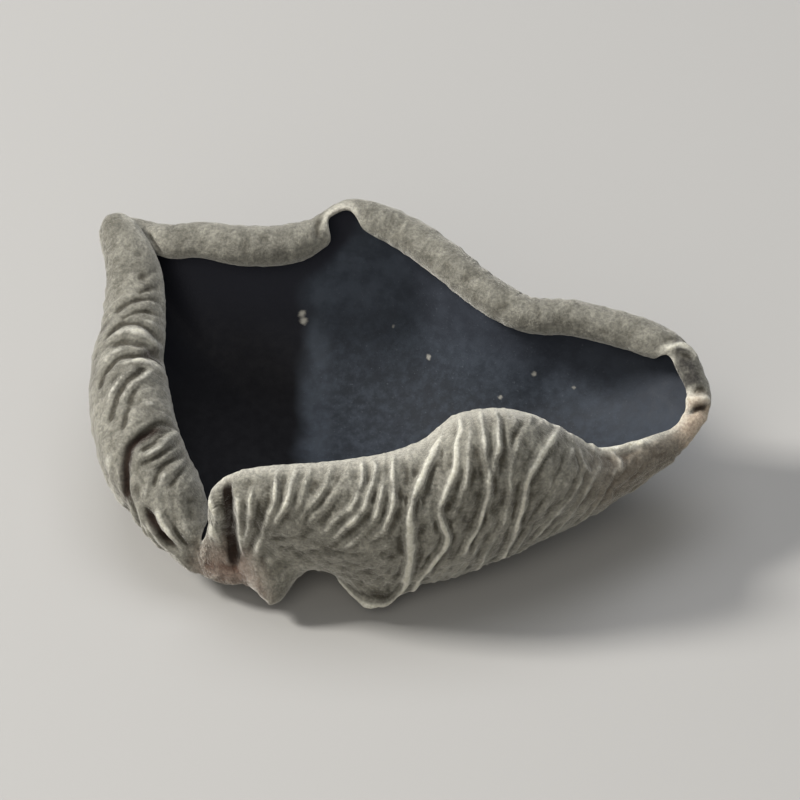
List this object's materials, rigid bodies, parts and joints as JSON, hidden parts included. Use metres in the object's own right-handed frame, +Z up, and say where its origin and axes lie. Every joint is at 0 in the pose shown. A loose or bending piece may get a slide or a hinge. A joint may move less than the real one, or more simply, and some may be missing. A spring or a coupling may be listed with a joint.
{
  "type": "wood ear mushroom",
  "caption": "Dried wood ear: a thin leathery cup lying on its belly, its margin rolled inwards all round and gathered into a notch above a short stub.",
  "frame": {"origin": "centre of the bounding box, at the level the belly rests on", "axes": "+X from the wide left roll towards the pointed tip, +Y towards the high back of the rim, +Z up out of the cup"},
  "size_m": [0.0408, 0.0276, 0.0156],
  "materials": {
    "dried_flesh": "dry matte velvet, grey-beige on the wrinkled back, blue-black and smoother inside the cup"
  },
  "bodies": {
    "root": {"ear": "dried_flesh"}
  },
  "joints": []
}
